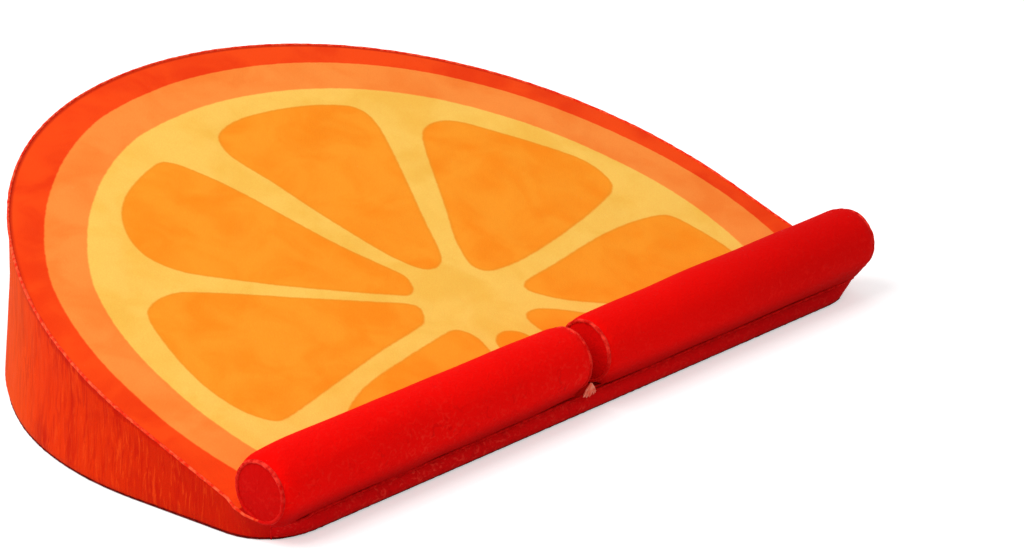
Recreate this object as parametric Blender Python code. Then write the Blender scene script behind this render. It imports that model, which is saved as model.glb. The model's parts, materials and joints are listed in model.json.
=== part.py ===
# Lap desk: a foam wedge with a D-shaped plan and a sloping top, covered in plush,
# with a stuffed roll in two halves sewn along its low front edge.
# Metres, +Z up. X runs along the roll, -Y is the front, the origin is the middle of the footprint.

import math

import bmesh
import bpy

# Driving sizes of the wedge
slice_width = 0.376
overall_depth = 0.2802
front_height = 0.008
slope_degrees = 18.8
front_corner_radius = 0.024

# Driving sizes of the roll, whose ends stand in from the slice's sides by the setback
roll_end_setback = 0.001
roll_radius = 0.0153
roll_flattening = 0.0021
cable_gap = 0.0076
disc_dome = 0.0012
end_pull = 0.0014
end_run = 0.007

# Driving sizes of the cover
fabric_thickness = 0.0012
seam_proud = 0.0003
stitch_radius = 0.0005
wall_flare = 0.005
crown_drop = 0.0008

# Gap left between pieces that touch
clearance = 0.0003

# How finely the curves are stepped, and the angle above which an edge is shaded sharp
back_arc_steps = 48
corner_steps = 6
side_steps = 3
crown_steps = 4
roll_sides = 32
seam_resolution = 1
sharp_degrees = 40

# The crown runs in from the edge as far as this share of the corner radius
crown_run_share = 0.8
# The wall's section: heights from base edge to top edge, and how much of the flare is out there
wall_height_shares = (0.0, 0.06, 0.3, 0.65, 0.92, 1.0)
wall_flare_shares = (0.65, 1.0, 0.85, 0.5, 0.12, 0.0)
# Rings of a dome, from its rim to the small flat at its middle
dome_radius_shares = (1.0, 0.85, 0.6, 0.3)
# Places of the cover's rings in from a roll end, as shares of the run over which it narrows
end_place_shares = (0.0, 0.25, 0.6, 1.0)

# Sizes worked out from the driving ones
half_width = slice_width / 2
roll_end_x = half_width - roll_end_setback
slope = math.radians(slope_degrees)
seam_radius = (fabric_thickness + seam_proud) / 2
seam_inset = seam_radius - seam_proud
notch = fabric_thickness + clearance
base_notch_height = seam_proud + 2 * seam_radius + clearance
foam_inset = fabric_thickness + clearance
skin_drop = fabric_thickness / math.cos(slope)
foam_drop = foam_inset / math.cos(slope)
crown_run = crown_run_share * front_corner_radius
roll_seat = roll_radius - roll_flattening
roll_seat_share = roll_seat / roll_radius

# The roll is pressed against the slope behind the wedge's front edge. Its row of stitching fills
# the crease between the roll and the seam of that edge, on the line that joins their middles.
# The crease is laid out in the slope's own directions, along it and square to it.
roll_axis_y = roll_radius - overall_depth / 2
axis_above_slope = roll_seat + clearance
seam_under_slope = seam_inset * math.cos(slope)
seam_below_axis = axis_above_slope + seam_under_slope
seam_to_axis = roll_radius + 2 * stitch_radius + seam_radius + 2 * clearance
seam_before_axis = math.sqrt(seam_to_axis ** 2 - seam_below_axis ** 2)
front_seam_y = (
    roll_axis_y - seam_before_axis * math.cos(slope) + seam_below_axis * math.sin(slope)
)
stitch_place_share = (roll_radius + clearance + stitch_radius) / seam_to_axis

front_y = front_seam_y - seam_inset
back_y = overall_depth / 2 - wall_flare
arc_center_y = back_y - half_width


def slope_height(y):
    """Height of the top panel's outer face, without its crown, at a place in depth."""
    return front_height + (y - front_y) * math.tan(slope)


back_height = slope_height(back_y) - crown_drop
roll_axis_z = slope_height(roll_axis_y) + axis_above_slope / math.cos(slope)
front_seam_z = slope_height(front_seam_y) - seam_inset
stitch_y = roll_axis_y + (front_seam_y - roll_axis_y) * stitch_place_share
stitch_z = roll_axis_z + (front_seam_z - roll_axis_z) * stitch_place_share


# Colours as they are seen, from 0 to 255
palette = {
    "printed_plush": (253, 158, 50),
    "side_velour": (226, 42, 10),
    "roll_velour": (214, 10, 6),
    "front_velour": (196, 14, 8),
    "base_fabric": (190, 34, 16),
    "seam_thread": (255, 86, 52),
    "wedge_foam": (236, 226, 196),
    "fibre_filling": (240, 238, 232),
}
fabric_roughness = 0.9


def seen_to_linear(value):
    share = value / 255
    return share / 12.92 if share <= 0.04045 else ((share + 0.055) / 1.055) ** 2.4


def finish(name):
    """Material of the palette, made once and shared by its pieces."""
    found = bpy.data.materials.get(name)
    if found:
        return found
    made = bpy.data.materials.new(name)
    made.use_nodes = True
    shader = made.node_tree.nodes["Principled BSDF"]
    shader.inputs["Base Color"].default_value = [seen_to_linear(v) for v in palette[name]] + [1.0]
    shader.inputs["Roughness"].default_value = fabric_roughness
    shader.inputs["Metallic"].default_value = 0.0
    return made


def add_mesh(name, mesh_builder, finish_name):
    """Object of a closed body whose faces are turned outwards."""
    bmesh.ops.recalc_face_normals(mesh_builder, faces=mesh_builder.faces)
    mesh = bpy.data.meshes.new(name)
    mesh_builder.to_mesh(mesh)
    mesh_builder.free()
    mesh.shade_smooth()
    mesh.set_sharp_from_angle(angle=math.radians(sharp_degrees))
    mesh.materials.append(finish(finish_name))
    piece = bpy.data.objects.new(name, mesh)
    bpy.context.collection.objects.link(piece)
    return piece


def loft(name, rings, finish_name):
    """Closed body through rings of points, the first and last ring filled with a face."""
    mesh_builder = bmesh.new()
    loops = [[mesh_builder.verts.new(point) for point in ring] for ring in rings]
    count = len(loops[0])
    for lower, upper in zip(loops, loops[1:]):
        for k in range(count):
            after = (k + 1) % count
            mesh_builder.faces.new((lower[k], lower[after], upper[after], upper[k]))
    mesh_builder.faces.new(loops[0])
    mesh_builder.faces.new(loops[-1])
    return add_mesh(name, mesh_builder, finish_name)


def bead(name, points, radius, finish_name, closed):
    """Round bead of sewing along a path."""
    curve = bpy.data.curves.new(name, "CURVE")
    curve.dimensions = "3D"
    curve.bevel_depth = radius
    curve.bevel_resolution = seam_resolution
    curve.use_fill_caps = not closed
    path = curve.splines.new("POLY")
    path.points.add(len(points) - 1)
    for point, place in zip(path.points, points):
        point.co = (*place, 1.0)
    path.use_cyclic_u = closed
    curve.materials.append(finish(finish_name))
    piece = bpy.data.objects.new(name, curve)
    bpy.context.collection.objects.link(piece)
    return piece


class EdgePoint:
    """One point of the slice's outline in plan, with its outward direction."""

    def __init__(self, x, y, out_angle, crown_share):
        self.x = x
        self.y = y
        self.out_x = math.cos(out_angle)
        self.out_y = math.sin(out_angle)
        self.crown_share = crown_share

    def moved(self, offset):
        """Place in plan, moved outwards by an offset."""
        return self.x + self.out_x * offset, self.y + self.out_y * offset

    def top_height(self, inset=0):
        """Height of the crowned top, in from the outline by an inset."""
        fade = max(0, 1 - inset / crown_run) ** 2
        return slope_height(self.moved(-inset)[1]) - crown_drop * self.crown_share * fade

    def wall_offset(self, flare_share):
        """How far the wall stands out, in step with how tall it is there."""
        return wall_flare * flare_share * self.top_height() / back_height


def corner_arc(center_x, start, end, crown_start, crown_end):
    """Points of a front corner; the crown fades out towards the straight front edge."""
    points = []
    for k in range(corner_steps + 1):
        share = k / corner_steps
        angle = start + (end - start) * share
        x = center_x + front_corner_radius * math.cos(angle)
        y = front_y + front_corner_radius * (1 + math.sin(angle))
        points.append(EdgePoint(x, y, angle, crown_start + (crown_end - crown_start) * share))
    return points


def slice_outline():
    """Outline from the front's left end, round the back, to the front's right end."""
    side_low = front_y + front_corner_radius
    corner_x = half_width - front_corner_radius
    side_places = [side_low + (arc_center_y - side_low) * k / side_steps for k in range(1, side_steps)]
    points = corner_arc(-corner_x, -math.pi / 2, -math.pi, 0, 1)
    points += [EdgePoint(-half_width, y, math.pi, 1) for y in side_places]
    for k in range(back_arc_steps + 1):
        angle = math.pi * (1 - k / back_arc_steps)
        x = half_width * math.cos(angle)
        y = arc_center_y + half_width * math.sin(angle)
        points.append(EdgePoint(x, y, angle, 1))
    points += [EdgePoint(half_width, y, 0, 1) for y in reversed(side_places)]
    points += corner_arc(corner_x, 0, -math.pi / 2, 1, 0)
    return points


outline = slice_outline()


def level_ring(offset_of, height):
    return [(*p.moved(offset_of(p)), height) for p in outline]


def crown_ring(inset, drop):
    """Ring of a sloping face, in from the outline, below the top panel's outer face by a drop."""
    return [(*p.moved(-inset), p.top_height(inset) - drop) for p in outline]


def crown_rings(first_inset, drop):
    """Rings of the crowned margin, from the edge to the flat middle."""
    span = crown_run - first_inset
    return [crown_ring(first_inset + span * k / crown_steps, drop) for k in range(crown_steps + 1)]


def wall_point(p, inset, height_share, flare_share, low, drop):
    """Point of the wall's section at an outline point."""
    offset = p.wall_offset(flare_share) - inset
    x, y = p.moved(offset)
    high = p.top_height(inset) - drop
    return x, y, low + (high - low) * height_share


def make_foam_wedge():
    rings = [level_ring(lambda p: p.wall_offset(wall_flare_shares[0]) - foam_inset, foam_inset)]
    for height_share, flare_share in zip(wall_height_shares, wall_flare_shares):
        ring = [
            wall_point(p, foam_inset, height_share, flare_share, base_notch_height, foam_drop)
            for p in outline
        ]
        rings.append(ring)
    rings += crown_rings(foam_inset, foam_drop)[1:]
    loft("foam_wedge", rings, "wedge_foam")


def make_top_panel():
    outer = crown_rings(notch, 0)
    inner = crown_rings(notch, skin_drop)
    loft("top_panel", list(reversed(inner)) + outer, "printed_plush")


def base_offset(p):
    return p.wall_offset(wall_flare_shares[0]) - notch


def make_base_panel():
    rings = [level_ring(base_offset, 0), level_ring(base_offset, fabric_thickness)]
    loft("base_panel", rings, "base_fabric")


def band_section(p):
    """Closed section of a band: up its outer face and down its inner one."""
    wall = list(zip(wall_height_shares, wall_flare_shares))
    outer = [wall_point(p, 0, h, b, base_notch_height, notch) for h, b in wall]
    inner = [wall_point(p, fabric_thickness, h, b, base_notch_height, notch) for h, b in wall]
    return outer + list(reversed(inner))


def make_side_band():
    loft("side_band", [band_section(p) for p in outline], "side_velour")


def make_front_band():
    reach = half_width - front_corner_radius - clearance
    ends = [EdgePoint(x, front_y, -math.pi / 2, 0) for x in (-reach, reach)]
    loft("front_band", [band_section(p) for p in ends], "front_velour")


def make_edge_seams():
    top_path = []
    base_path = []
    for p in outline:
        x, y = p.moved(-seam_inset)
        top_path.append((x, y, p.top_height(seam_inset) - seam_inset))
        x, y = p.moved(p.wall_offset(wall_flare_shares[0]) - seam_inset)
        base_path.append((x, y, seam_proud + seam_radius))
    bead("top_edge_seam", top_path, seam_radius, "seam_thread", closed=True)
    bead("base_edge_seam", base_path, seam_radius, "side_velour", closed=True)


def unit_roll_section():
    """Section of the roll as shares of its radius: a circle pressed flat where it lies on the slope."""
    seat_angle = slope - math.pi / 2
    section = []
    for k in range(roll_sides):
        angle = 2 * math.pi * k / roll_sides
        facing = math.cos(angle - seat_angle)
        reach = min(1, roll_seat_share / facing) if facing > 0 else 1
        section.append((reach * math.cos(angle), reach * math.sin(angle)))
    return section


roll_section_shares = unit_roll_section()
end_radius = roll_radius - end_pull


def roll_ring(x, radius):
    return [(x, roll_axis_y + radius * a, roll_axis_z + radius * b) for a, b in roll_section_shares]


def roll_stations(start, end, inset):
    """Places along half a roll, with the radius there, narrowing towards both ends."""
    toward = 1 if end > start else -1
    stations = []
    for share in end_place_shares:
        narrowing = end_pull * (1 - math.sqrt(1 - (1 - share) ** 2))
        radius = roll_radius - narrowing - inset
        stations.append((end_run * share, radius))
    left = [(start + toward * place, radius) for place, radius in stations]
    right = [(end - toward * place, radius) for place, radius in reversed(stations)]
    return left + right


def make_roll_cover(name, start, end):
    """Tube of velour, open at both ends for the discs."""
    toward = 1 if end > start else -1
    cut_start = start + toward * notch
    cut_end = end - toward * notch
    outer = [roll_ring(x, r) for x, r in roll_stations(cut_start, cut_end, 0)]
    inner = [roll_ring(x, r) for x, r in roll_stations(cut_start, cut_end, fabric_thickness)]
    mesh_builder = bmesh.new()
    rings = outer + list(reversed(inner))
    loops = [[mesh_builder.verts.new(point) for point in ring] for ring in rings]
    for near, far in zip(loops, loops[1:] + loops[:1]):
        for k in range(roll_sides):
            after = (k + 1) % roll_sides
            mesh_builder.faces.new((near[k], near[after], far[after], far[k]))
    add_mesh(name, mesh_builder, "roll_velour")


def dome_rings(rim_x, outward, rim_radius, height):
    rings = []
    for share in dome_radius_shares:
        x = rim_x + outward * height * (1 - share ** 2)
        rings.append(roll_ring(x, rim_radius * share))
    return rings


def make_disc(name, rim_x, outward):
    """Slightly domed disc that closes one end of a half roll."""
    rim_radius = end_radius - notch
    outer = dome_rings(rim_x, outward, rim_radius, disc_dome)
    inner = dome_rings(rim_x - outward * fabric_thickness, outward, rim_radius, disc_dome)
    loft(name, list(reversed(inner)) + outer, "roll_velour")


def make_filling(name, start, end):
    """Stuffing that fills the tube between its two discs."""
    toward = 1 if end > start else -1
    inset = fabric_thickness + clearance
    first = start + toward * inset
    last = end - toward * inset
    stations = roll_stations(start + toward * notch, end - toward * notch, inset)
    rings = list(reversed(dome_rings(first, -toward, end_radius - inset, disc_dome)))
    rings += [roll_ring(x, r) for x, r in stations[1:-1]]
    rings += dome_rings(last, toward, end_radius - inset, disc_dome)
    loft(name, rings, "fibre_filling")


def make_roll_half(side_name, side):
    """Half of the roll: side is -1 on the left and 1 on the right."""
    outer_x = side * roll_end_x
    inner_x = side * (cable_gap / 2 + disc_dome)
    prefix = side_name + "_roll_"
    make_roll_cover(prefix + "cover", inner_x, outer_x)
    make_filling(prefix + "filling", inner_x, outer_x)
    for end_name, rim_x, outward in (("outer", outer_x, side), ("inner", inner_x, -side)):
        make_disc(prefix + end_name + "_disc", rim_x, outward)
        ring = roll_ring(rim_x - outward * seam_inset, end_radius - seam_inset)
        bead(prefix + end_name + "_seam", ring, seam_radius, "seam_thread", closed=True)
    stitching = [(x, stitch_y, stitch_z) for x in (inner_x, outer_x - side * front_corner_radius)]
    bead(prefix + "stitching", stitching, stitch_radius, "seam_thread", closed=False)


for leftover in list(bpy.data.objects):
    bpy.data.objects.remove(leftover)

make_foam_wedge()
make_base_panel()
make_top_panel()
make_side_band()
make_front_band()
make_edge_seams()
make_roll_half("left", -1)
make_roll_half("right", 1)

print("back height", round(back_height, 4), "slope", slope_degrees)
print("front face y", round(front_y, 5), "roll axis", round(roll_axis_y, 5), round(roll_axis_z, 5))
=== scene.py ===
# Looks of a half-round lap desk: a foam wedge in a printed plush and velour cover,
# with a stuffed velour roll in two halves sewn along its low front edge.
# Metres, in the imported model's own frame.

import json
import math

import bmesh
import bpy
import numpy as np
from mathutils import Matrix, Vector, noise


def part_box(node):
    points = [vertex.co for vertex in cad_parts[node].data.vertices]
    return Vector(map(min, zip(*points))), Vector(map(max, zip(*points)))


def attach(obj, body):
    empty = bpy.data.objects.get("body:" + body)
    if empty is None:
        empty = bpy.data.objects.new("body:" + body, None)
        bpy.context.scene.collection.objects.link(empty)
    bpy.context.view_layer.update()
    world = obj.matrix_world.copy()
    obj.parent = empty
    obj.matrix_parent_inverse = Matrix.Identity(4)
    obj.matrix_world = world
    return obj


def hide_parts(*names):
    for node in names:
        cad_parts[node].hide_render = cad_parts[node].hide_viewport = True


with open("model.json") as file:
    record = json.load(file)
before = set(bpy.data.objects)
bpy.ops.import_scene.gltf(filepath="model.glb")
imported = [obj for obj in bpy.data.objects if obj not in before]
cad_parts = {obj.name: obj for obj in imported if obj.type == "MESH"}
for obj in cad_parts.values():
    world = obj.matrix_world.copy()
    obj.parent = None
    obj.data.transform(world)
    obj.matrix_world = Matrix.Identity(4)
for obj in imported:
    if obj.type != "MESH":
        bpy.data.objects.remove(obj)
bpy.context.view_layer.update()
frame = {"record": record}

mm = 0.001

# Where the slope lies, from the mount that a tablet rests on
rest_mount = next(m for m in frame["record"]["mounts"] if m["name"] == "device_rest")
slope = math.atan2(-rest_mount["axis"][1], rest_mount["axis"][2])
slope_height_at_middle = rest_mount["pos_m"][2]

# The wedge's outline, from its top seam, which stands a little proud of it
seam_proud = 0.3 * mm
seam_radius = 0.6 * mm
edge_low, edge_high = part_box("top_edge_seam")
base_low, base_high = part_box("base_edge_seam")
half_width = edge_high.x - seam_proud
front_y = edge_low.y + seam_proud
back_y = edge_high.y - seam_proud
arc_center_y = back_y - half_width
front_corner_radius = half_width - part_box("front_band")[1].x

# The roll, from its covers
cover_low, cover_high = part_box("left_roll_cover")
roll_radius = (cover_high.y - cover_low.y) / 2
roll_axis_y = (cover_high.y + cover_low.y) / 2
roll_axis_z = cover_high.z - roll_radius

# The cover's cloth, and how its wall stands out and its edge is drawn down. At the base seam
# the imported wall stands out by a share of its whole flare
cloth = 1.2 * mm
base_flare_share = 0.65
wall_flare = (base_high.y - edge_high.y) / base_flare_share
crown_drop = 0.8 * mm
crown_run = 20 * mm
edge_tuck = 0.5 * mm
border = 1.1 * mm


def slope_height(y):
    return slope_height_at_middle + y * math.tan(slope)


back_height = slope_height(back_y)


# Helpers for working on one mesh in edit mode, as by hand

def deselect_all():
    for thing in list(bpy.context.selected_objects):
        thing.select_set(False)


def choose(piece):
    """Selects one piece alone."""
    deselect_all()
    bpy.context.view_layer.objects.active = piece
    piece.select_set(True)


def begin(piece):
    """Opens a piece in edit mode with nothing of it selected."""
    choose(piece)
    bpy.ops.object.mode_set(mode="EDIT")
    bpy.ops.mesh.select_mode(type="VERT")
    bpy.ops.mesh.select_all(action="DESELECT")


def end():
    bpy.ops.object.mode_set(mode="OBJECT")


def select_all():
    bpy.ops.mesh.select_all(action="SELECT")


def cut_rows(count):
    """Cuts rows across the chosen edges, which run side by side."""
    bpy.ops.mesh.subdivide_edgering(number_cuts=count, interpolation="LINEAR", smoothness=0)


def outward_normals():
    select_all()
    bpy.ops.mesh.normals_make_consistent(inside=False)


def settle():
    """Puts a new primitive's place and turn into its mesh."""
    bpy.ops.object.transform_apply(location=True, rotation=True, scale=True)


def pick(kind, test):
    """Selects the points, edges or faces of the open mesh that pass a test, and no others."""
    bpy.ops.mesh.select_mode(type=kind)
    mesh = bmesh.from_edit_mesh(bpy.context.edit_object.data)
    parts = {"VERT": mesh.verts, "EDGE": mesh.edges, "FACE": mesh.faces}[kind]
    chosen = [part for part in parts if test(part)]
    bpy.ops.mesh.select_all(action="DESELECT")
    for part in chosen:
        part.select_set(True)
    bmesh.update_edit_mesh(bpy.context.edit_object.data)
    return len(chosen)


def apply_all(piece):
    """Applies a piece's modifiers in their order."""
    choose(piece)
    for modifier in list(piece.modifiers):
        bpy.ops.object.modifier_apply(modifier=modifier.name)


def places(mesh):
    """The points of a mesh as an array."""
    points = np.zeros(len(mesh.vertices) * 3)
    mesh.vertices.foreach_get("co", points)
    return points.reshape(-1, 3)


def put(piece, points):
    piece.data.vertices.foreach_set("co", points.ravel())
    piece.data.update()


def reshape(piece, new_place):
    """Moves each point of a piece to its new place."""
    put(piece, np.array([new_place(*place) for place in places(piece.data)]))


def copy_of(piece, name):
    made = piece.copy()
    made.data = piece.data.copy()
    made.name = name
    bpy.context.scene.collection.objects.link(made)
    return made


def name_only(piece, name):
    piece.name = name
    piece.data.name = name
    return piece


# The wedge

hair = 0.01 * mm
outline_step = 4 * mm
eighth = round(2 * math.pi * half_width / outline_step / 8)
arc_vertices = 8 * eighth
side_steps = round((arc_center_y - front_y - front_corner_radius) / outline_step)
front_steps = 2 * round((half_width - front_corner_radius) / outline_step)
corner_steps = 8
wall_rows = 22
grid_span = 90


def draw_outline():
    """The wedge's outline as a closed wire: half a circle, two straight sides and round corners."""
    bpy.ops.mesh.primitive_circle_add(
        vertices=arc_vertices, radius=half_width, location=(0, arc_center_y, 0)
    )
    shell = bpy.context.object
    settle()
    begin(shell)
    pick("VERT", lambda v: v.co.y < arc_center_y - hair)
    bpy.ops.mesh.delete(type="VERT")
    pick("VERT", lambda v: abs(v.co.y - arc_center_y) < hair)
    forward = (0, front_y - arc_center_y, 0)
    bpy.ops.mesh.extrude_region_move(TRANSFORM_OT_translate={"value": forward})
    pick("VERT", lambda v: abs(v.co.y - front_y) < hair)
    bpy.ops.mesh.edge_face_add()
    pick("VERT", lambda v: abs(v.co.y - front_y) < hair)
    bpy.ops.mesh.bevel(
        offset=front_corner_radius, segments=corner_steps, affect="VERTICES", clamp_overlap=False
    )
    straight = half_width - front_corner_radius
    pick("EDGE", lambda e: e.calc_length() > straight)
    bpy.ops.mesh.subdivide(number_cuts=front_steps - 1)
    pick("EDGE", lambda e: e.calc_length() > 2 * outline_step)
    bpy.ops.mesh.subdivide(number_cuts=side_steps - 1)
    return shell


def raise_wall():
    """Raises the outline, cuts it off along the slope and gives the wall its rows."""
    select_all()
    bpy.ops.mesh.extrude_region_move(TRANSFORM_OT_translate={"value": (0, 0, 2 * back_height)})
    select_all()
    bpy.ops.mesh.bisect(
        plane_co=(0, 0, slope_height_at_middle),
        plane_no=(0, -math.sin(slope), math.cos(slope)),
        clear_outer=True,
    )
    pick("EDGE", lambda e: (e.verts[0].co.xy - e.verts[1].co.xy).length < hair)
    cut_rows(wall_rows)


def close_with_grid(is_edge):
    """Closes an end of the wall with a grid whose corners are the outline's front corners."""
    pick("EDGE", is_edge)
    mesh = bmesh.from_edit_mesh(bpy.context.edit_object.data)
    chosen = [v for v in mesh.verts if v.select]
    corner = min(chosen, key=lambda v: (v.co.xy - Vector((-half_width, front_y))).length)
    mesh.select_history.clear()
    mesh.select_history.add(corner)
    bpy.ops.mesh.fill_grid(span=grid_span, offset=0, use_interp_simple=True)


def make_wedge_shell():
    shell = draw_outline()
    raise_wall()
    close_with_grid(lambda e: e.is_boundary and e.verts[0].co.z > hair)
    close_with_grid(lambda e: e.is_boundary and e.verts[0].co.z < hair)
    outward_normals()
    end()
    return name_only(shell, "wedge_shell")


def in_from_edge(x, y):
    """How far a place lies inside the outline in plan, and its outward direction."""
    out_x, out_y = x, y - arc_center_y
    reach = math.hypot(out_x, out_y)
    if y >= arc_center_y and reach > 0:
        return half_width - reach, out_x / reach, out_y / reach
    past_side = abs(x) - (half_width - front_corner_radius)
    past_front = front_y + front_corner_radius - y
    side = math.copysign(1, x)
    if past_side > 0 and past_front > 0:
        reach = math.hypot(past_side, past_front)
        return front_corner_radius - reach, side * past_side / reach, -past_front / reach
    if half_width - abs(x) < y - front_y:
        return half_width - abs(x), side, 0
    return y - front_y, 0, -1


def crown_share(x, y):
    """The edge is drawn down all round but along the straight front."""
    across = (abs(x) - (half_width - front_corner_radius)) / front_corner_radius
    along = (y - front_y) / front_corner_radius
    return min(1, max(0, across, along))


# The wall's section: shares of its height, and how much of the flare stands out there
wall_height_shares = (0, 0.06, 0.3, 0.65, 0.92, 1)
wall_flare_shares = (0.85, 1.2, 0.75, 0.1, 0, 0)
flare_fade = 70 * mm
ripple_height = 0.22 * mm
ripple_length = 34 * mm

# The slice is a little out of round, as photographed: how far it stands out round each angle
out_of_round = ((math.radians(119), 1.5 * mm), (math.radians(79), -1.1 * mm))
out_of_round_spread = math.radians(30)

# The front wall swells between its seams, and its lower edge is drawn up from the table
front_bulge = 2.2 * mm
front_bulge_sharpness = 4
front_lift = 0.5 * mm
front_lift_run = 14 * mm

# The wall's upper edge is drawn out at the front corners, to the ends of the roll: how far,
# and how closely round the corner
left_gusset = (5 * mm, 1)
right_gusset = (7.4 * mm, 3)
gusset_rise = 1.4
gusset_fade = 12 * mm

# The roll's left end sits a little lower, in the soft corner, as photographed
end_sag = 1.7 * mm
end_sag_run = 26 * mm


def stand_out(x, y):
    """How far the round back stands out beyond its circle."""
    angle = math.atan2(y - arc_center_y, x)
    reach = 0
    for middle, height in out_of_round:
        turn = min(1, abs(angle - middle) / out_of_round_spread)
        reach += height * math.cos(turn * math.pi / 2) ** 2
    return reach


def row_height(share, top):
    """Height of a row of the wall: the first and the last lie a border's width from the seams."""
    row = round(share * (wall_rows + 1))
    if row in (0, wall_rows + 1):
        return row / (wall_rows + 1) * top
    return border + (row - 1) / (wall_rows - 1) * (top - 2 * border)


def sag_at(x, y):
    """How far the left front corner is pressed down by the end of the roll."""
    along = min(1, max(0, 1 - (x + half_width) / end_sag_run))
    across = min(1, max(0, 1 - (y - roll_axis_y) / end_sag_run))
    return end_sag * (along * across) ** 2


def wedge_place(x, y, z):
    """Where a point of the plain wedge comes to lie, with its edge drawn down, its wall standing
    out and the cloth's soft unevenness."""
    inside, out_x, out_y = in_from_edge(x, y)
    top = slope_height(y)
    if inside < hair and z < top:
        z = row_height(z / top, top)
    share = min(1, z / top)
    scale = top / back_height
    flare = np.interp(share, wall_height_shares, wall_flare_shares)
    flare *= wall_flare * scale
    flare += stand_out(x, y)
    frontness = max(0, -out_y) ** front_bulge_sharpness
    flare += front_bulge * frontness * math.sin(math.pi * share)
    if y < arc_center_y:
        reach, sharpness = left_gusset if x < 0 else right_gusset
        gusset = reach * (2 * abs(out_x * out_y)) ** sharpness * share ** gusset_rise
        flare += gusset * max(0, 1 - inside / gusset_fade)
    flare *= max(0, 1 - inside / flare_fade) if inside > hair else 1
    fade = max(0, 1 - inside / crown_run) ** 2
    drop = crown_drop * crown_share(x, y) * fade * share
    place = Vector((x, y, z))
    ripple = ripple_height * noise.noise(place / ripple_length)
    if share < hair:
        ripple = 0
    elif inside > hair:
        z += ripple
    else:
        flare += ripple * math.sin(math.pi * share)
    lift = front_lift * max(0, 1 - (y - front_y) / front_lift_run) ** 2
    z += lift * (1 - share) - sag_at(x, y) * share
    return x + out_x * flare, y + out_y * flare, z - drop


# Panels of the shell, told apart by which way their faces look

panel_names = ("plush_top", "velour_side", "velour_front", "base_cloth")
level_normal = 0.9
front_normal = -0.6


def panel_of(face):
    if abs(face.normal.z) > level_normal:
        return 0 if face.normal.z > 0 else 3
    at_front = face.normal.y < front_normal and face.calc_center_median().y < arc_center_y
    return 2 if at_front else 1


def mark_parts(shell, names, part_of):
    """Gives each part of a shell its own material slot, so that it can be cut apart there."""
    choose(shell)
    for name in names:
        bpy.ops.object.material_slot_add()
        shell.material_slots[-1].material = bpy.data.materials.new(name)
    begin(shell)
    for number in range(len(names)):
        pick("FACE", lambda face: part_of(face) == number)
        shell.active_material_index = number
        bpy.ops.object.material_slot_assign()
    end()


def cut_apart(shell, names):
    """Cuts a copy of a shell into its parts; each is an object with the part's name."""
    whole = copy_of(shell, "cut")
    begin(whole)
    select_all()
    bpy.ops.mesh.separate(type="MATERIAL")
    end()
    found = {}
    for piece in list(bpy.context.selected_objects):
        part = piece.material_slots[piece.data.polygons[0].material_index].material.name
        piece.data.materials.clear()
        found[part] = name_only(piece, part)
    return [found[name] for name in names]


def opened(piece):
    """A piece's mesh with its points, edges and faces open to the script."""
    mesh = bmesh.new()
    mesh.from_mesh(piece.data)
    mesh.normal_update()
    return mesh


def close_into(piece, mesh):
    mesh.to_mesh(piece.data)
    mesh.free()


def seam_edges(mesh):
    """Edges between two parts of a shell."""
    return [
        edge for edge in mesh.edges
        if len({face.material_index for face in edge.link_faces}) > 1
    ]


def pin_seams(shell, is_fixed):
    """Vertex group of the points that stay where they are while the cloth swells."""
    mesh = opened(shell)
    held = {v.index for edge in seam_edges(mesh) for v in edge.verts}
    held |= {v.index for v in mesh.verts if is_fixed(v.co)}
    mesh.free()
    shell.vertex_groups.new(name="held").add(sorted(held), 1.0, "REPLACE")


swell_frames = 20


def swell(piece, pressure, most):
    """Lets sewn cloth swell over what fills it, no point moving further than the most."""
    before = places(piece.data)
    cloth_sim = piece.modifiers.new("swell", "CLOTH")
    cloth_sim.settings.use_pressure = True
    cloth_sim.settings.uniform_pressure_force = pressure
    cloth_sim.settings.effector_weights.gravity = 0
    cloth_sim.settings.vertex_group_mass = "held"
    cloth_sim.collision_settings.use_collision = False
    for step in range(1, swell_frames + 1):
        bpy.context.scene.frame_set(step)
    points = places(piece.evaluated_get(bpy.context.evaluated_depsgraph_get()).to_mesh())
    piece.modifiers.remove(cloth_sim)
    bpy.context.scene.frame_set(1)
    moves = points - before
    lengths = np.linalg.norm(moves, axis=1, keepdims=True)
    put(piece, before + moves * np.minimum(1, most / np.maximum(lengths, hair * hair)))


# How much less an edge is tucked in where it runs upright
upright_ease = 0.8


def hem(piece, tuck, fine_cuts, unevenness=None, has_border=False):
    """Turns a panel's edge in towards its seam and gives the cloth its thickness."""
    begin(piece)
    select_all()
    if not has_border:
        bpy.ops.mesh.inset(thickness=border, use_boundary=True, use_even_offset=True)
    if fine_cuts:
        select_all()
        bpy.ops.mesh.subdivide(number_cuts=fine_cuts)
    end()
    mesh = opened(piece)
    inward = {}
    for v in mesh.verts:
        runs = [(e.verts[0].co - e.verts[1].co).normalized() for e in v.link_edges if e.is_boundary]
        if runs:
            upright = min(abs(run.z) for run in runs)
            inward[v.index] = -tuck * (1 - upright * upright_ease) * v.normal
    mesh.free()
    points = places(piece.data)
    for index, move in inward.items():
        points[index] += move
    put(piece, points)
    if unevenness:
        ruffle(piece, unevenness)
    thicken = piece.modifiers.new("cloth", "SOLIDIFY")
    thicken.thickness = cloth
    thicken.offset = -1
    apply_all(piece)
    smooth(piece)


def ruffle(piece, amount):
    """Moves every point of a piece along its normal by the amount for its place."""
    mesh = opened(piece)
    for v in mesh.verts:
        v.co += v.normal * amount(v.co)
    close_into(piece, mesh)


streak_depth = 0.22 * mm
streak_width = 2.4 * mm
streak_length = 26 * mm
pucker_depth = 0.35 * mm
pucker_length = 4.5 * mm
pucker_fade = 8 * mm


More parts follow.
